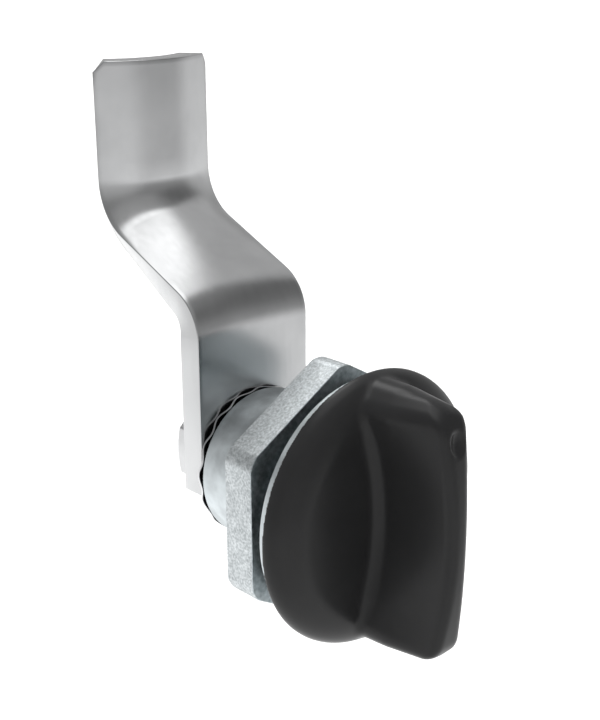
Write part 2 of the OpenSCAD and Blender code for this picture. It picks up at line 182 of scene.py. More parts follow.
# The cam's flat blank: its stretches end at these lengths from the start of the lower bend. Once it
# is bent, its upper plate starts at the height PLATE_Z.
BEND_TANGENT = math.tan(CRANK / 2) * (LOW_BEND_R + HIGH_BEND_R)
SLOPE_L = OFFSET / math.sin(CRANK) - BEND_TANGENT
LOW_END = LOW_BEND_R * CRANK
SLOPE_END = LOW_END + SLOPE_L
HIGH_END = SLOPE_END + HIGH_BEND_R * CRANK
PLATE_Z = LOW_BEND_Z + BEND_TANGENT + OFFSET / math.tan(CRANK)
BLANK_TOP = HIGH_END + cam_high.z - PLATE_Z
BLANK_HEEL = cam_low.z - LOW_BEND_Z

# Noise values between which a finish changes
NOISE_SPAN = (0.3, 0.7)

# Camera, at the photograph's viewing angle
CAMERA_PLACE = Vector((-91.72, -88.49, 59.66)) * MM
CAMERA_YAW = math.radians(43.225)
CAMERA_PITCH = math.radians(18.770)
CAMERA_ROLL = math.radians(-0.218)
CAMERA_LENS = 63.68

FLOOR_Z = -0.25
FLOOR_HALF = 20

# Brightness of the tent from straight below (0) over the horizon (0.5) to straight above (1)
TENT_LEVELS = [
    (0.3, 1.45), (0.36, 1.04), (0.415, 0.78), (0.46, 0.55),
    (0.49, 0.42), (0.525, 0.4), (0.8, 0.3), (1, 0.4),
]

# Soft cards in the tent: the way to each, the angles in degrees from it at which it starts to fade
# and is gone, and how much it adds to the tent's brightness. The last one is dark.
CARDS = [
    ((0.11, 0.12, 0.98), 13, 27, 1.7),
    ((0.1, 0.95, 0.3), 20, 80, 0.1),
    ((0.29, 0.55, 0.78), 5, 15, 4.8),
    ((0.76, 0.2, 0.62), 8, 28, 0.28),
    ((-0.5, 0.8, -0.3), 15, 50, 0.17),
    ((0, -0.6, 0.8), 15, 35, 0.15),
    ((-0.45, -0.88, -0.12), 10, 40, 0.25),
    ((0.98, -0.1, -0.13), 10, 35, 0.3),
    ((0.66, -0.5, 0.55), 8, 34, -0.12),
]


def make_camera():
    data = bpy.data.cameras.new("latch_camera")
    data.sensor_width = 36
    data.lens = CAMERA_LENS
    data.clip_start = 0.005
    data.clip_end = 100
    camera = bpy.data.objects.new("latch_camera", data)
    bpy.context.scene.collection.objects.link(camera)
    turn = Euler((math.pi / 2 - CAMERA_PITCH, 0, -CAMERA_YAW)).to_matrix().to_4x4()
    roll = Matrix.Rotation(CAMERA_ROLL, 4, "Z")
    camera.matrix_world = Matrix.Translation(CAMERA_PLACE) @ turn @ roll
    bpy.context.scene.camera = camera


# Mesh tools

def soften(bm, corners, radius, segments):
    """Rounds corners of a flat outline."""
    bmesh.ops.bevel(
        bm, geom=corners, offset=radius, offset_type="OFFSET", segments=segments, profile=0.5,
        affect="VERTICES", clamp_overlap=True, material=-1,
    )


def outline_face(bm, points):
    """A flat face from a few (radius, y) points."""
    corners = [bm.verts.new((r, y, 0)) for r, y in points]
    bm.faces.new(corners)
    return corners


def spin_outline(bm, steps, angle=2 * math.pi):
    """Spins the outline round the Y axis. A full turn gives one closed skin."""
    full = math.isclose(angle, 2 * math.pi)
    if full:
        bmesh.ops.delete(bm, geom=bm.faces[:], context="FACES_ONLY")
        on_axis = [e for e in bm.edges if all(abs(v.co.x) < MERGE_DIST for v in e.verts)]
        bmesh.ops.delete(bm, geom=on_axis, context="EDGES")
        geom = bm.verts[:] + bm.edges[:]
    else:
        geom = bm.verts[:] + bm.edges[:] + bm.faces[:]
    bmesh.ops.spin(
        bm, geom=geom, cent=(0, 0, 0), axis=(0, 1, 0), dvec=(0, 0, 0), angle=angle, steps=steps,
        use_merge=full, use_duplicate=False,
    )
    bmesh.ops.remove_doubles(bm, verts=bm.verts[:], dist=MERGE_DIST)
    bmesh.ops.recalc_face_normals(bm, faces=bm.faces[:])


def lathe(points, roundings, steps=144):
    """A revolve of a closed outline. Each rounding is (corner numbers, radius, segments)."""
    bm = bmesh.new()
    corners = outline_face(bm, points)
    for numbers, radius, segments in roundings:
        soften(bm, [corners[n] for n in numbers], radius, segments)
    spin_outline(bm, steps)
    return bm


def hexagon(half_flats, y):
    """A flat hexagon across the Y axis, with one corner straight up."""
    bm = bmesh.new()
    lay = Matrix.Translation((0, y, 0)) @ Matrix.Rotation(math.radians(-90), 4, "X")
    bmesh.ops.create_circle(
        bm, cap_ends=True, segments=6, radius=half_flats / math.cos(HEX_HALF), matrix=lay,
    )
    return bm


def thicken(bm, way):
    """Extrudes the faces by a vector."""
    made = bmesh.ops.extrude_face_region(bm, geom=bm.faces[:])
    moved = [g for g in made["geom"] if isinstance(g, bmesh.types.BMVert)]
    bmesh.ops.translate(bm, verts=moved, vec=way)


def block(low, high):
    """A box between two corners."""
    bm = bmesh.new()
    size = Vector(high) - Vector(low)
    middle = (Vector(high) + Vector(low)) / 2
    bmesh.ops.create_cube(bm, size=1, matrix=Matrix.Translation(middle) @ Matrix.Diagonal((*size, 1)))
    return bm


def scratch_object(bm):
    """An object for modifiers to work on. It takes the place of the bmesh."""
    mesh = bpy.data.meshes.new("scratch")
    bm.to_mesh(mesh)
    bm.free()
    made = bpy.data.objects.new("scratch", mesh)
    bpy.context.scene.collection.objects.link(made)
    return made


def with_modifiers(made, extra=()):
    """The object's mesh with its modifiers applied. The object, and any extra, is removed."""
    bpy.context.view_layer.update()
    graph = bpy.context.evaluated_depsgraph_get()
    result = bmesh.new()
    result.from_mesh(made.evaluated_get(graph).to_mesh())
    for old in (made, *extra):
        bpy.data.objects.remove(old)
    return result


def boolean(bm, tool, operation):
    """bm joined with, cut by or limited to the tool."""
    made = scratch_object(bm)
    other = scratch_object(tool)
    step = made.modifiers.new("boolean", "BOOLEAN")
    step.operation = operation
    step.solver = "EXACT"
    step.object = other
    return with_modifiers(made, (other,))


def round_edges(bm, edges, radius):
    """Rounds edges of a solid."""
    bmesh.ops.bevel(
        bm, geom=edges, offset=radius, offset_type="OFFSET", segments=3, profile=0.5,
        affect="EDGES", clamp_overlap=True, material=-1,
    )


def sharp_edges(bm, limit):
    """The edges between faces that turn by more than the limit, in degrees."""
    return [
        e for e in bm.edges
        if len(e.link_faces) == 2 and abs(e.calc_face_angle()) > math.radians(limit)
    ]


def add_piece(name, bm, body, node, material, smooth_limit=35):
    """Turns a mesh into a finished piece that rides on its body and replaces its CAD node. Edges
    between faces that turn by more than the limit, in degrees, stay sharp."""
    for face in bm.faces:
        face.smooth = True
    for edge in sharp_edges(bm, smooth_limit):
        edge.smooth = False
    mesh = bpy.data.meshes.new(name)
    bm.to_mesh(mesh)
    bm.free()
    mesh.materials.append(material)
    piece = bpy.data.objects.new(name, mesh)
    bpy.context.scene.collection.objects.link(piece)
    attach(piece, body)
    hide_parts(node)


# Finishes

def finish_nodes(name, colour, metallic, roughness):
    """A material of one even finish, and its shader. What is linked to a socket later takes the
    place of its value here."""
    material = bpy.data.materials.new(name)
    material.use_nodes = True
    shader = material.node_tree.nodes["Principled BSDF"]
    shader.inputs["Base Color"].default_value = (*colour, 1)
    shader.inputs["Metallic"].default_value = metallic
    shader.inputs["Roughness"].default_value = roughness
    return material, shader


def grain(material, size, detail=3, stretch=(1, 1, 1)):
    """Noise in Object coordinates with grains of about that size."""
    tree = material.node_tree
    place = tree.nodes.new("ShaderNodeTexCoord")
    mapping = tree.nodes.new("ShaderNodeMapping")
    mapping.inputs["Scale"].default_value = stretch
    noise = tree.nodes.new("ShaderNodeTexNoise")
    noise.inputs["Scale"].default_value = 1 / size
    noise.inputs["Detail"].default_value = detail
    tree.links.new(place.outputs["Object"], mapping.inputs["Vector"])
    tree.links.new(mapping.outputs["Vector"], noise.inputs["Vector"])
    return noise.outputs["Fac"]


def spread(material, value, low, high, span=NOISE_SPAN):
    """Maps the span of a value to the range from low to high."""
    tree = material.node_tree
    node = tree.nodes.new("ShaderNodeMapRange")
    node.inputs["From Min"].default_value = span[0]
    node.inputs["From Max"].default_value = span[1]
    node.inputs["To Min"].default_value = low
    node.inputs["To Max"].default_value = high
    tree.links.new(value, node.inputs["Value"])
    return node.outputs["Result"]


def tint(material, value, dark, light):
    """A colour between dark and light, following a noise value."""
    tree = material.node_tree
    ramp = tree.nodes.new("ShaderNodeValToRGB")
    ramp.color_ramp.elements[0].position = NOISE_SPAN[0]
    ramp.color_ramp.elements[0].color = (*dark, 1)
    ramp.color_ramp.elements[1].position = NOISE_SPAN[1]
    ramp.color_ramp.elements[1].color = (*light, 1)
    tree.links.new(value, ramp.inputs["Fac"])
    return ramp.outputs["Color"]


def band(material, axes, low, high, middle_y=0):
    """Rises from 0 to 1 between two distances from the middle, along the axes that are 1."""
    tree = material.node_tree
    place = tree.nodes.new("ShaderNodeTexCoord")
    mapping = tree.nodes.new("ShaderNodeMapping")
    mapping.inputs["Location"].default_value = (0, -middle_y, 0)
    mapping.inputs["Scale"].default_value = axes
    length = tree.nodes.new("ShaderNodeVectorMath")
    length.operation = "LENGTH"
    tree.links.new(place.outputs["Object"], mapping.inputs["Vector"])
    tree.links.new(mapping.outputs["Vector"], length.inputs[0])
    return spread(material, length.outputs["Value"], 0, 1, (low, high))


def blend(material, share, low, high):
    """The colour or value low where share is 0, high where it is 1."""
    tree = material.node_tree
    mix = tree.nodes.new("ShaderNodeMix")
    mix.data_type = "RGBA"
    tree.links.new(share, mix.inputs["Factor"])
    tree.links.new(low, mix.inputs["A"])
    tree.links.new(high, mix.inputs["B"])
    return mix.outputs["Result"]


def vary(material, shader, value, dark, light, smoothest, roughest):
    """Colour and roughness that follow a noise value."""
    links = material.node_tree.links
    links.new(tint(material, value, dark, light), shader.inputs["Base Color"])
    links.new(spread(material, value, smoothest, roughest), shader.inputs["Roughness"])


def relief(material, shader, value, strength, depth):
    """Bump that follows a value. Depth is its height for a value of 1, at full strength."""
    tree = material.node_tree
    bump = tree.nodes.new("ShaderNodeBump")
    bump.inputs["Strength"].default_value = strength
    bump.inputs["Distance"].default_value = depth
    tree.links.new(value, bump.inputs["Height"])
    tree.links.new(bump.outputs["Normal"], shader.inputs["Normal"])


def knob_plastic():
    """Fine matt moulded plastic."""
    material, shader = finish_nodes("knob_plastic", (0.017, 0.017, 0.0175), 0, 0.3)
    shader.inputs["Specular IOR Level"].default_value = 0.15
    cloud = grain(material, 6 * MM)
    vary(material, shader, cloud, (0.0155, 0.0155, 0.016), (0.0185, 0.0185, 0.019), 0.285, 0.325)
    relief(material, shader, grain(material, 0.3 * MM, 2), 0.06, 0.01 * MM)
    return material


def cam_steel():
    """Satin plated sheet, streaked along its length by the rolling."""
    material, shader = finish_nodes("cam_steel", (0.5, 0.505, 0.51), 1, 0.24)
    links = material.node_tree.links
    cloud = tint(material, grain(material, 6 * MM), (0.47, 0.475, 0.48), (0.53, 0.535, 0.54))
    rolling = grain(material, 1.2 * MM, stretch=(2, 1, 0.15))
    links.new(cloud, shader.inputs["Base Color"])
    links.new(spread(material, rolling, 0.21, 0.265), shader.inputs["Roughness"])
    return material


def housing_zinc():
    """Plated die casting with a cloudy sheen."""
    material, shader = finish_nodes("housing_zinc", (0.6, 0.64, 0.66), 1, 0.4)
    cloud = grain(material, 2.5 * MM)
    vary(material, shader, cloud, (0.46, 0.495, 0.51), (0.72, 0.77, 0.79), 0.44, 0.56)
    relief(material, shader, grain(material, 1.2 * MM, 2), 0.1, 0.05 * MM)
    return material


def cast_nut():
    """Sandy where it was cast, smooth on its two faced ends, which are painted darker as painted
    shade.
    """
    material, shader = finish_nodes("nut_casting", (0.5, 0.52, 0.53), 1, 0.5)
    links = material.node_tree.links
    sand = grain(material, 0.28 * MM)
    cloud = grain(material, 1.5 * MM)
    middle = (nut_low.y + nut_high.y) / 2
    half = (nut_high.y - nut_low.y) / 2
    faced = band(material, (0, 1, 0), half - FACED_FADE[0], half - FACED_FADE[1], middle)
    rough = spread(material, cloud, 0.45, 0.6)
    smooth = spread(material, cloud, 0.4, 0.5)
    cast = tint(material, sand, (0.4, 0.43, 0.44), (0.72, 0.755, 0.77))
    # Colour of both faced ends: painted shade, darker than the casting, for the shade between nut and
    # flange
    faced_painted_shade = tint(material, grain(material, 0.6 * MM), (0.3, 0.345, 0.36), (0.56, 0.61, 0.63))
    links.new(blend(material, faced, cast, faced_painted_shade), shader.inputs["Base Color"])
    links.new(blend(material, faced, rough, smooth), shader.inputs["Roughness"])
    relief(material, shader, blend(material, faced, sand, rough), 0.45, 0.05 * MM)
    return material


def spring_steel():
    """Bright spring steel."""
    material, shader = finish_nodes("washer_steel", (0.55, 0.55, 0.56), 1, 0.25)
    cloud = grain(material, 0.6 * MM)
    vary(material, shader, cloud, (0.5, 0.5, 0.51), (0.62, 0.62, 0.63), 0.285, 0.36)
    return material


def spring_painted_shade():
    """Faces painted near black as painted shade for the narrow gaps, plain steel along the outer
    edge.
    """
    material, shader = finish_nodes("washer_steel", (0.55, 0.55, 0.56), 1, 0.3)
    links = material.node_tree.links
    cloud = grain(material, 0.6 * MM)
    unshaded_edge = band(material, (1, 0, 1), wave_high.x - UNSHADED_EDGE_FADE[0], wave_high.x - UNSHADED_EDGE_FADE[1])
    # Near-black faces: painted shade, for the shade in the narrow gaps beside the washer
    painted_shade_dark = tint(material, cloud, (0.012, 0.013, 0.015), (0.02, 0.021, 0.024))
    bright = tint(material, cloud, (0.6, 0.6, 0.61), (0.72, 0.72, 0.73))
    links.new(blend(material, unshaded_edge, painted_shade_dark, bright), shader.inputs["Base Color"])
    links.new(spread(material, cloud, 0.285, 0.38), shader.inputs["Roughness"])
    return material


def screw_steel():
    """Plated, a little uneven."""
    material, shader = finish_nodes("screw_steel", (0.55, 0.555, 0.56), 1, 0.3)
    cloud = grain(material, 1.5 * MM)
    vary(material, shader, cloud, (0.5, 0.505, 0.51), (0.6, 0.605, 0.61), 0.285, 0.37)
    return material


def turned_steel():
    """Plated, with fine turning marks round the axis."""
    material, shader = finish_nodes("spindle_steel", (0.5, 0.5, 0.51), 1, 0.28)
    marks = grain(material, 0.3 * MM, stretch=(0.1, 3, 0.1))
    vary(material, shader, marks, (0.45, 0.45, 0.46), (0.57, 0.57, 0.58), 0.285, 0.38)
    return material


def bush_zinc():
    """Plated and dull."""
    material, shader = finish_nodes("bush_zinc", (0.45, 0.46, 0.47), 1, 0.4)
    cloud = grain(material, 1 * MM)
    vary(material, shader, cloud, (0.4, 0.41, 0.42), (0.52, 0.53, 0.54), 0.34, 0.46)
    return material


def seal_rubber():
    """Dull black rubber."""
    material, shader = finish_nodes("seal_rubber", (0.02, 0.02, 0.021), 0, 0.7)
    cloud = tint(material, grain(material, 1 * MM), (0.016, 0.016, 0.017), (0.028, 0.028, 0.029))
    material.node_tree.links.new(cloud, shader.inputs["Base Color"])
    relief(material, shader, grain(material, 0.2 * MM), 0.2, 0.03 * MM)
    return material


# Wing knob

def wing_side(share, grow):
    """Half of the wing's outline seen from the front, from its lower nose to its upper nose: a hollow
    flank, an arc round each shoulder, a slanted face and an arc round each nose. share runs from the
    foot to the tip, and grow moves the outline outwards."""
    side_steps = 32
    shoulder_steps = 10
    nose_steps = 8
    waist_r = WING_WAIST / 2
    end_x = (WING_END_ROOT + (WING_END_TIP - WING_END_ROOT) * share) / 2
    nose_r = NOSE_ROOT_R + (NOSE_TIP_R - NOSE_ROOT_R) * share
    shoulder_r = SHOULDER_ROOT_R + (SHOULDER_TIP_R - SHOULDER_ROOT_R) * share
    nose_z = WING_HALF_L + (TIP_HALF_L - WING_HALF_L) * share - nose_r
    centre_x = end_x - shoulder_r
    rise = (nose_r - shoulder_r - centre_x * math.sin(WING_SLANT)) / math.cos(WING_SLANT)
    centre_z = nose_z + rise
    flank_r = ((centre_x - waist_r) ** 2 + centre_z**2 - shoulder_r**2) / 2 / (end_x - waist_r)
    lean = math.asin(centre_z / (flank_r + shoulder_r))
    points = []
    for i in range(side_steps):
        a = lean * i / side_steps
        points.append((
            waist_r + flank_r - (flank_r - grow) * math.cos(a),
            (flank_r - grow) * math.sin(a),
        ))
    for i in range(shoulder_steps + 1):
        a = -lean + (math.pi / 2 - WING_SLANT + lean) * i / shoulder_steps
        radius = shoulder_r + grow
        points.append((centre_x + radius * math.cos(a), centre_z + radius * math.sin(a)))
    for i in range(nose_steps + 1):
        a = WING_SLANT * (1 - i / (nose_steps + 0.5))
        radius = nose_r + grow
        points.append((radius * math.sin(a), nose_z + radius * math.cos(a)))
    lower = [(x, -z) for x, z in points[:0:-1]]
    return lower + points


def wing_outline(share, grow):
    half = wing_side(share, grow)
    return half + [(-x, z) for x, z in reversed(half)]


def crown_drop(z):
    """How far the tip edge drops towards its ends."""
    into_corner = min(max(0, abs(z) - (TIP_HALF_L - WING_SIDE_R)), WING_SIDE_R)
    arc = WING_SIDE_R - math.sqrt(WING_SIDE_R**2 - into_corner**2)
    return WING_CROWN * (z / TIP_HALF_L) ** 2 + arc


def foot_surface(r):
    """The foot's surface at a distance r from the axis."""
    into_rim = min(max(0, r - (knob_high.x - RIM_W)), RIM_W) / RIM_W
    return FOOT_FRONT_Y + RIM_DEPTH * (1 - math.sqrt(1 - into_rim**2))


def within_foot(x, z):
    """The point, held inside the rim of the foot."""
    reach = min(1, (knob_high.x - RIM_MARGIN) / math.hypot(x, z))
    return x * reach, z * reach


def fillet_share(z):
    """The fillet at the wing's foot is full along the flanks and runs out at the noses."""
    run_out = min(max(0, (abs(z) - FILLET_FULL_Z) / (WING_HALF_L - FILLET_FULL_Z)), 1)
    return 1 - (1 - NOSE_FILLET_SHARE) * run_out


def fillet_ring(angle):
    """One ring of the fillet: at 0 it touches the foot, at 90 degrees the flank."""
    ring = []
    for (x, z), (wide_x, wide_z) in zip(wing_outline(0, 0), wing_outline(0, WING_FILLET)):
        share = fillet_share(z)
        out = share * (1 - math.sin(angle))
        x, z = within_foot(x + (wide_x - x) * out, z + (wide_z - z) * out)
        rise = WING_FILLET * share * (1 - math.cos(angle)) + FILLET_PROUD
        ring.append((x, foot_surface(math.hypot(x, z)) - rise, z))
    return ring


def wing_rings():
    """The rings of the wing, from inside the foot over the fillet and the flanks to the tip."""
    fillet_steps = 8
    flank_steps = 5
    tip_steps = 6
    tip_y = knob_low.y
    root = wing_outline(0, 0)
    rings = [[(0, WING_ROOT_Y, z) for x, z in root], [(x, WING_ROOT_Y, z) for x, z in root]]
    rings += [fillet_ring(math.pi / 2 * s / fillet_steps) for s in range(fillet_steps + 1)]
    for s in range(1, flank_steps):
        share = s / flank_steps
        y = FOOT_FRONT_Y - WING_FILLET + (tip_y + WING_TIP_R - FOOT_FRONT_Y + WING_FILLET) * share
        rings.append([(x, y + share * crown_drop(z), z) for x, z in wing_outline(share, 0)])
    for s in range(tip_steps + 1):
        a = WING_TIP_ARC * s / tip_steps
        top = tip_y + WING_TIP_R * (1 - math.sin(a))
        shrunk = wing_outline(1, -WING_TIP_R * (1 - math.cos(a)))
        rings.append([(x, top + crown_drop(z), z) for x, z in shrunk])
    rings.append([(0, tip_y + crown_drop(z), z) for x, z in shrunk])
    return rings


def wing_mesh():
    """One outline, extruded from ring to ring. It closes on the middle line at both ends."""
    rings = wing_rings()
    bm = bmesh.new()
    bmesh.ops.create_circle(bm, cap_ends=True, segments=len(rings[0]), radius=1)
    face = bm.faces[:][0]
    for number, ring in enumerate(rings):
        if number:
            face = bmesh.ops.extrude_discrete_faces(bm, faces=[face])["faces"][0]
        for loop, place in zip(face.loops, ring):
            loop.vert.co = place
    bmesh.ops.delete(bm, geom=[face], context="FACES_ONLY")
    bmesh.ops.remove_doubles(bm, verts=bm.verts[:], dist=WING_MERGE_DIST)
    bmesh.ops.recalc_face_normals(bm, faces=bm.faces[:])
    return bm


def lay_on(verts, skin, reach):
    """Sets the points that lie within reach of a skin on it."""
    for vert in verts:
        place, _, _, gap = skin.find_nearest(vert.co)
        if gap < reach:
            vert.co = place


def moulded_skin(bm):
    """The same form in an even skin, its edges and blends softened as a moulding's are, apart from
    those at the back of the foot."""
    true_skin = BVHTree.FromBMesh(bm)
    made = scratch_object(bm)
    step = made.modifiers.new("skin", "REMESH")
    step.mode = "VOXEL"
    step.voxel_size = SKIN_VOXEL
    even = with_modifiers(made)
    bmesh.ops.remove_doubles(even, verts=even.verts[:], dist=SKIN_VOXEL / 4)
    lay_on(even.verts, true_skin, SKIN_VOXEL)
    for _ in range(SKIN_PASSES):
        bmesh.ops.smooth_vert(
            even, verts=even.verts[:], factor=0.5, use_axis_x=True, use_axis_y=True, use_axis_z=True,
        )
    lay_on([v for v in even.verts if v.co.y > CRISP_FROM_Y], true_skin, SKIN_VOXEL / 2)
    return even


def knob_foot():
    """The foot with its rounded rim, and the boss behind it."""
    rim_steps = 16
    rim = []
    for i in range(rim_steps + 1):
        a = math.pi / 2 * i / rim_steps
        r = knob_high.x - RIM_W * (1 - math.sin(a))
        rim.append((r, FOOT_FRONT_Y + RIM_DEPTH * (1 - math.cos(a))))
    return lathe(
        [
            (BOSS_R, FOOT_BACK_Y), (BOSS_R, knob_high.y), (0, knob_high.y), (0, FOOT_FRONT_Y), *rim,
            (knob_high.x, FOOT_BACK_Y),
        ],
        [((1,), BOSS_EDGE_R, 3)],
    )


def mark_ball():
    """The ball that hollows the position mark out of the tip edge. It is narrower across the edge."""
    ball_r = ((MARK_D / 2) ** 2 + MARK_DEPTH**2) / 2 / MARK_DEPTH
    y = knob_low.y + crown_drop(MARK_Z) + MARK_DEPTH - ball_r
    bm = bmesh.new()
    bmesh.ops.create_icosphere(
        bm, subdivisions=5, radius=ball_r,
        matrix=Matrix.Translation((0, y, MARK_Z)) @ Matrix.Diagonal((MARK_NARROWING, 1, 1, 1)),
    )
    return bm


def make_knob():
    half = SOCKET_SIDE / 2
    socket = block((-half, FOOT_FRONT_Y + SOCKET_FLOOR, -half), (half, knob_high.y + MM, half))
    knob = boolean(knob_foot(), wing_mesh(), "UNION")
    knob = boolean(knob, mark_ball(), "DIFFERENCE")
    knob = boolean(knob, socket, "DIFFERENCE")
    knob = moulded_skin(knob)
    # No point of the new skin ends outside the box of the node
    for vert in knob.verts:
        vert.co = [min(max(c, a), b) for c, a, b in zip(vert.co, knob_low, knob_high)]
    add_piece(
        "wing_knob_moulded", knob, "turning_body", "wing_knob", knob_plastic(),
        smooth_limit=60,
    )


# Housing, nut and washers

def make_housing():
    flange_r = housing_high.x
    barrel_r = wave_high.x
    shell = lathe(
        [
            (FRONT_BORE_R, housing_low.y), (flange_r, housing_low.y), (flange_r, 0),
            (gasket_high.x, 0), (gasket_high.x, GROOVE_FLOOR), (GASKET_IN_R, GROOVE_FLOOR),
            (GASKET_IN_R, 0), (barrel_r, 0), (barrel_r, housing_high.y),
            (CHAMBER_R, housing_high.y), (CHAMBER_R, CHAMBER_START), (BEARING_R, CHAMBER_START),
            (BEARING_R, FRONT_BORE_END), (FRONT_BORE_R, FRONT_BORE_END),
        ],
        [((1, 2, 8), FLANGE_EDGE_R, 4), ((0, 9), BORE_EDGE_R, 2)],
    )
    pocket = bmesh.new()
    outline_face(pocket, [
        (BEARING_R, CHAMBER_START), (POCKET_R, CHAMBER_START),
        (POCKET_R, housing_high.y + MM), (BEARING_R, housing_high.y + MM),
    ])
    spin_outline(pocket, 40, POCKET_SPAN)
    turn = Matrix.Rotation(POCKET_START - math.pi / 2, 4, "Y")
    bmesh.ops.transform(pocket, matrix=turn, verts=pocket.verts[:])
    shell = boolean(shell, pocket, "DIFFERENCE")
    add_piece("housing_plated", shell, "fixed_body", "housing", housing_zinc())


def make_nut():
    front = nut_low.y
    back = nut_high.y
    bm = hexagon(nut_high.x, front)
    soften(bm, bm.verts[:], 2 * NUT_CUT, 1)
    soften(bm, bm.verts[:], NUT_EASE, 4)
    thicken(bm, (0, back - front, 0))
    bmesh.ops.recalc_face_normals(bm, faces=bm.faces[:])
    round_edges(bm, sharp_edges(bm, 20), NUT_EDGE_R)
    over = 0.5 * MM
    mouth_r = NUT_BORE_R + NUT_SINK + over
    bore = lathe(
        [
            (0, front - over), (mouth_r, front - over), (NUT_BORE_R, front + NUT_SINK),
            (NUT_BORE_R, back - NUT_SINK), (mouth_r, back + over), (0, back + over),
        ],
        [((2, 3), NUT_BORE_EDGE_R, 3)],
    )
    bm = boolean(bm, bore, "DIFFERENCE")
    add_piece("hex_nut_cast", bm, "fixed_body", "hex_nut", cast_nut())


def make_wave_washer():
    outer_r = wave_high.x
    inner_r = outer_r - WAVE_W
    half_t = WAVE_T / 2
    bm = lathe(
        [(inner_r, -half_t), (outer_r, -half_t), (outer_r, half_t), (inner_r, half_t)],
        [((0, 1, 2, 3), WAVE_EDGE_R, 2)], steps=STEPS_PER_WAVE * WAVES,
    )
    middle = (wave_low.y + wave_high.y) / 2
    swing = (wave_high.y - wave_low.y) / 2 - half_t
    for vert in bm.verts:
        turn = math.atan2(vert.co.z, -vert.co.x) - WAVE_PHASE
        vert.co.y += middle - swing * math.cos(WAVES * turn)
    add_piece(
        "wave_washer_sprung", bm, "turning_body", "wave_washer", spring_painted_shade(),
    )


def make_lock_washer():
    outer_r = lock_high.x
    inner_r = SCREW_R + LOCK_CLEARANCE
    bm = bmesh.new()
    corners = outline_face(bm, [
        (inner_r, lock_low.y), (outer_r, lock_low.y), (outer_r, lock_high.y), (inner_r, lock_high.y),
    ])
    soften(bm, corners, LOCK_EDGE_R, 3)
    slit = LOCK_SLIT / outer_r
    spin_outline(bm, 90, 2 * math.pi - slit)
    bmesh.ops.holes_fill(bm, edges=bm.edges[:], sides=0)
    bmesh.ops.recalc_face_normals(bm, faces=bm.faces[:])
    add_piece(
        "lock_washer_split", bm, "turning_body", "lock_washer", spring_steel(),
    )


def make_screw():
    head_back = screw_high.y
    head_front = lock_high.y
    half_flats = screw_high.x
    head = hexagon(half_flats, head_front)
    thicken(head, (0, head_back - head_front, 0))
    bmesh.ops.recalc_face_normals(head, faces=head.faces[:])
    corners = [e for e in head.edges if abs(e.verts[0].co.y - e.verts[1].co.y) > MM]
    round_edges(head, corners, HEAD_EDGE_R)
    land_r = half_flats - HEAD_LAND
    wide_r = half_flats / math.cos(HEX_HALF) + MM
    slope = math.tan(HEAD_SLOPE)
    turned = lathe(
        [
            (0, head_front), (wide_r, head_front), (wide_r, head_back - (wide_r - land_r) * slope),
            (land_r, head_back), (0, head_back),
        ],
        [((3,), HEAD_LAND_R, 4)],
    )
    head = boolean(head, turned, "INTERSECT")
    shank = lathe(
        [(0, screw_low.y), (SCREW_R, screw_low.y), (SCREW_R, head_front + MM), (0, head_front + MM)],
        [((1,), SHANK_CHAMFER, 1)], steps=64,
    )
    screw = boolean(head, shank, "UNION")
    add_piece("cam_screw_plated", screw, "turning_body", "cam_screw", screw_steel())


# Cam: a flat blank is cut, punched and given its thickness, then bent and crowned

def even_places(stops, steps):
    """The stops, with each span between them divided into its number of steps."""
    places = [stops[0]]
    for a, b, n in zip(stops, stops[1:], steps):
        places += [a + (b - a) * i / n for i in range(1, n + 1)]
    return places


def path_at(s):
    """Where the front of the bent sheet runs at a length s along the blank: y, z, how far it leans
    back, and its share of the crown."""
    low_y = cam_low.y + LOW_BEND_R
    high_y = cam_low.y + OFFSET - HIGH_BEND_R
    if s <= 0:
        return cam_low.y, LOW_BEND_Z + s, 0, 0
    if s <= LOW_END:
        lean = s / LOW_BEND_R
        y = low_y - LOW_BEND_R * math.cos(lean)
        z = LOW_BEND_Z + LOW_BEND_R * math.sin(lean)
        return y, z, lean, LOW_CROWN * s / LOW_END
    if s <= SLOPE_END:
        on = s - LOW_END
        y = low_y - LOW_BEND_R * math.cos(CRANK) + on * math.sin(CRANK)
        z = LOW_BEND_Z + LOW_BEND_R * math.sin(CRANK) + on * math.cos(CRANK)
        return y, z, CRANK, LOW_CROWN + (HIGH_CROWN - LOW_CROWN) * on / (SLOPE_END - LOW_END)
    if s <= HIGH_END:
        lean = (HIGH_END - s) / HIGH_BEND_R
        y = high_y + HIGH_BEND_R * math.cos(lean)
        z = PLATE_Z - HIGH_BEND_R * math.sin(lean)
        return y, z, lean, 1 - (1 - HIGH_CROWN) * (HIGH_END - s) / (HIGH_END - SLOPE_END)
    return cam_low.y + OFFSET, PLATE_Z + s - HIGH_END, 0, 1


def bend_sheet(bm):
    """Bends and crowns the blank. A point's Z in the blank is its depth below the front face."""
    half_w = cam_high.x
    for vert in bm.verts:
        x, s, depth = vert.co
        y, z, lean, crown = path_at(s)
        back = Vector((0, math.cos(lean), -math.sin(lean)))
        angle = math.asin(half_w / CROWN_R) * crown
        if angle > FLATTEST_ARC:
            radius = half_w / math.sin(angle)
            turn = x / half_w * angle
            x = (radius - depth) * math.sin(turn)
            depth = radius * math.cos(angle) - (radius - depth) * math.cos(turn)
        vert.co = Vector((x, y, z)) + back * depth


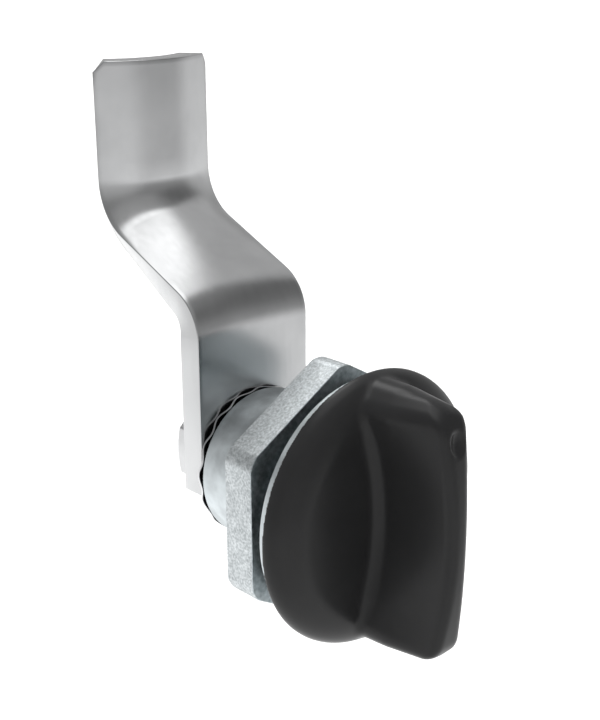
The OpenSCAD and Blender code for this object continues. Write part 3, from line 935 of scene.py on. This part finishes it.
def cam_blank():
    """The flat blank: a strip cut to its outline, with the square hole punched in it."""
    half_w = cam_high.x
    columns = even_places(
        [-half_w, -half_w + TOP_CHAMFER, -HOLE_HALF, HOLE_HALF, half_w - TOP_CHAMFER, half_w],
        [2, 4, 8, 4, 2],
    )
    rows = even_places(
        [BLANK_HEEL, -HOLE_HALF - LOW_BEND_Z, HOLE_HALF - LOW_BEND_Z, 0, LOW_END, SLOPE_END, HIGH_END,
         BLANK_TOP - TOP_CHAMFER, BLANK_TOP],
        [1, 2, 3, 14, 8, 14, 6, 2],
    )
    bm = bmesh.new()
    corners = [
        (-half_w, BLANK_HEEL), (half_w, BLANK_HEEL), (half_w, BLANK_TOP), (-half_w, BLANK_TOP),
    ]
    bm.faces.new([bm.verts.new((x, s, 0)) for x, s in corners])

    def cut(place, normal, clear=False):
        bmesh.ops.bisect_plane(
            bm, geom=bm.verts[:] + bm.edges[:] + bm.faces[:], dist=MERGE_DIST, plane_co=place,
            plane_no=normal, clear_outer=clear,
        )

    for x in columns[1:-1]:
        cut((x, 0, 0), (1, 0, 0))
    for s in rows[1:-1]:
        cut((0, s, 0), (0, 1, 0))
    for side in (-1, 1):
        cut((side * half_w, BLANK_TOP - TOP_CHAMFER, 0), (side, 1, 0), True)
        taper = (side * (HEEL_START - cam_low.z), HEEL_HALF - half_w, 0)
        cut((side * HEEL_HALF, BLANK_HEEL, 0), taper, True)
    middles = {face: face.calc_center_median() for face in bm.faces}
    hole = [
        face for face, middle in middles.items()
        if abs(middle.x) < HOLE_HALF and abs(middle.y + LOW_BEND_Z) < HOLE_HALF
    ]
    bmesh.ops.delete(bm, geom=hole, context="FACES")
    thicken(bm, (0, 0, SHEET_T))
    return bm


def make_cam():
    bm = cam_blank()
    bend_sheet(bm)
    bmesh.ops.recalc_face_normals(bm, faces=bm.faces[:])
    round_edges(bm, sharp_edges(bm, 50), CAM_EDGE_R)
    # No point of the tip ends above the box of the node
    for vert in bm.verts:
        vert.co.z = min(vert.co.z, cam_high.z)
    add_piece("cam_bent", bm, "turning_body", "cam", cam_steel(), smooth_limit=50)


def finish_plain_nodes():
    """The spindle, the two seals and the stop bush keep their CAD shapes and get their finishes."""
    looks = {
        "spindle": turned_steel(), "spindle_seal": seal_rubber(), "seat_gasket": seal_rubber(),
        "stop_bush": bush_zinc(),
    }
    for node, material in looks.items():
        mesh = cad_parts[node].data
        mesh.materials.clear()
        mesh.materials.append(material)


# Floor and light

def make_floor():
    bm = bmesh.new()
    bmesh.ops.create_grid(
        bm, x_segments=1, y_segments=1, size=FLOOR_HALF, matrix=Matrix.Translation((0, 0, FLOOR_Z)),
    )
    mesh = bpy.data.meshes.new("floor")
    bm.to_mesh(mesh)
    mesh.materials.append(finish_nodes("floor_paper", (0.9, 0.9, 0.9), 0, 0.9)[0])
    floor = bpy.data.objects.new("floor", mesh)
    floor.visible_glossy = False
    bpy.context.scene.collection.objects.link(floor)


def soft_card(tree, direction, towards, inner, outer, level):
    """Light from round one direction, fading out between two angles in degrees."""
    dot = tree.nodes.new("ShaderNodeVectorMath")
    dot.operation = "DOT_PRODUCT"
    dot.inputs[1].default_value = Vector(towards).normalized()
    fade = tree.nodes.new("ShaderNodeMapRange")
    fade.interpolation_type = "SMOOTHSTEP"
    fade.inputs["From Min"].default_value = math.cos(math.radians(outer))
    fade.inputs["From Max"].default_value = math.cos(math.radians(inner))
    fade.inputs["To Min"].default_value = 0
    fade.inputs["To Max"].default_value = level
    tree.links.new(direction, dot.inputs[0])
    tree.links.new(dot.outputs["Value"], fade.inputs["Value"])
    return fade.outputs["Result"]


def make_tent():
    """A studio tent, bright below and dim above, with soft cards round it. It lights the object and
    shows in its gloss, while the camera sees a white backdrop behind the object."""
    world = bpy.data.worlds.new("studio")
    world.use_nodes = True
    bpy.context.scene.world = world
    tree = world.node_tree
    direction = tree.nodes.new("ShaderNodeTexCoord").outputs["Generated"]
    split = tree.nodes.new("ShaderNodeSeparateXYZ")
    height = tree.nodes.new("ShaderNodeMapRange")
    height.inputs["From Min"].default_value = -1
    tent = tree.nodes.new("ShaderNodeValToRGB")
    tree.links.new(direction, split.inputs["Vector"])
    tree.links.new(split.outputs["Z"], height.inputs["Value"])
    tree.links.new(height.outputs["Result"], tent.inputs["Fac"])
    steps = tent.color_ramp.elements
    while len(steps) < len(TENT_LEVELS):
        steps.new(0.5)
    for step, (place, level) in zip(steps, TENT_LEVELS):
        step.position = place
        step.color = (level, level, level, 1)
    total = tent.outputs["Color"]
    for card in CARDS:
        add = tree.nodes.new("ShaderNodeMath")
        add.operation = "ADD"
        tree.links.new(total, add.inputs[0])
        tree.links.new(soft_card(tree, direction, *card), add.inputs[1])
        total = add.outputs["Value"]
    background = tree.nodes["Background"]
    tree.links.new(total, background.inputs["Color"])
    backdrop = tree.nodes.new("ShaderNodeBackground")
    backdrop.inputs["Color"].default_value = (1, 1, 1, 1)
    seen = tree.nodes.new("ShaderNodeLightPath").outputs["Is Camera Ray"]
    either = tree.nodes.new("ShaderNodeMixShader")
    tree.links.new(seen, either.inputs["Fac"])
    tree.links.new(background.outputs["Background"], either.inputs[1])
    tree.links.new(backdrop.outputs["Background"], either.inputs[2])
    tree.links.new(either.outputs["Shader"], tree.nodes["World Output"].inputs["Surface"])


def make_sun():
    """A broad soft light from above, a little from the camera's left. No polished face mirrors it."""
    sun = bpy.data.lights.new("softbox", "SUN")
    sun.energy = 2.6
    sun.angle = math.radians(34)
    lamp = bpy.data.objects.new("softbox", sun)
    lamp.rotation_euler = (math.radians(3), math.radians(-14), 0)
    lamp.visible_glossy = False
    bpy.context.scene.collection.objects.link(lamp)


make_camera()
make_knob()
make_housing()
make_nut()
make_wave_washer()
make_lock_washer()
make_screw()
make_cam()
finish_plain_nodes()
make_floor()
make_tent()
make_sun()
# Colours are shown as they are, with no film curve
bpy.context.scene.view_settings.view_transform = "Standard"
